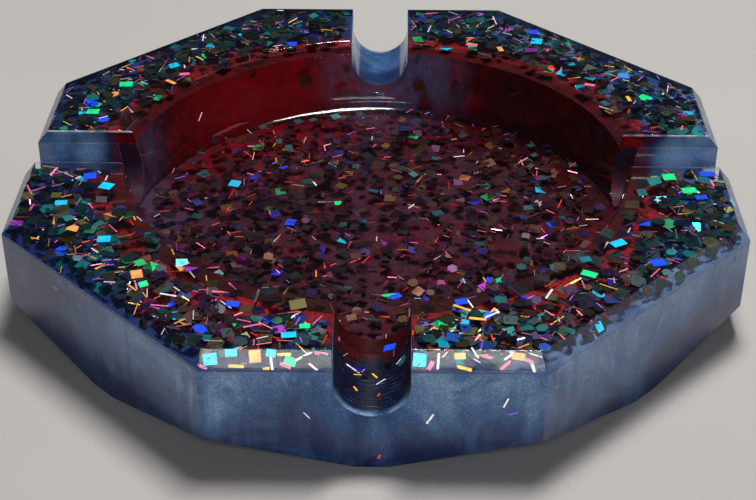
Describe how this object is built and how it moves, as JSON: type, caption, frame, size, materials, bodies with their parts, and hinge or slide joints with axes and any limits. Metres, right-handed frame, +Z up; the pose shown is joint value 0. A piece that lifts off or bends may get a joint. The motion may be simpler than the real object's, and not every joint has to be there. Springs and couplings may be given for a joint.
{
  "type": "ashtray",
  "caption": "Octagonal cast resin ashtray with a round bowl, U-shaped rests through the rim and chunky glitter set in clear and crimson resin over a pearl body.",
  "frame": {"origin": "centre of the flat base, on the surface it stands on", "axes": "+Z up; -Y towards the flat side that faces the viewer, with its rest notch; +X to the viewer's right"},
  "size_m": [0.11, 0.11, 0.0184],
  "materials": {
    "pearl_body": "slate-blue pearlescent mica resin, gloss",
    "crimson_bowl": "deep crimson translucent resin, gloss",
    "clear_rim": "clear casting resin, polished",
    "teal_foil": "teal metallised polyester foil",
    "navy_foil": "navy metallised polyester foil",
    "olive_foil": "olive metallised polyester foil",
    "black_foil": "black metallised polyester foil",
    "green_foil": "green metallised polyester foil",
    "blue_foil": "blue metallised polyester foil",
    "cyan_foil": "cyan metallised polyester foil",
    "copper_foil": "copper metallised polyester foil",
    "magenta_foil": "magenta metallised polyester foil",
    "white_tinsel": "white metallised polyester tinsel",
    "pink_tinsel": "pink metallised polyester tinsel",
    "red_tinsel": "red metallised polyester tinsel",
    "gold_tinsel": "gold metallised polyester tinsel",
    "violet_tinsel": "violet metallised polyester tinsel"
  },
  "bodies": {
    "root": {"pearl_body": "pearl_body", "crimson_bowl": "crimson_bowl", "clear_rim": "clear_rim", "teal_squares": "teal_foil", "navy_squares": "navy_foil", "olive_squares": "olive_foil", "black_squares": "black_foil", "green_squares": "green_foil", "blue_squares": "blue_foil", "cyan_squares": "cyan_foil", "copper_squares": "copper_foil", "magenta_squares": "magenta_foil", "white_strands": "white_tinsel", "pink_strands": "pink_tinsel", "red_strands": "red_tinsel", "gold_strands": "gold_tinsel", "violet_strands": "violet_tinsel"}
  },
  "joints": []
}
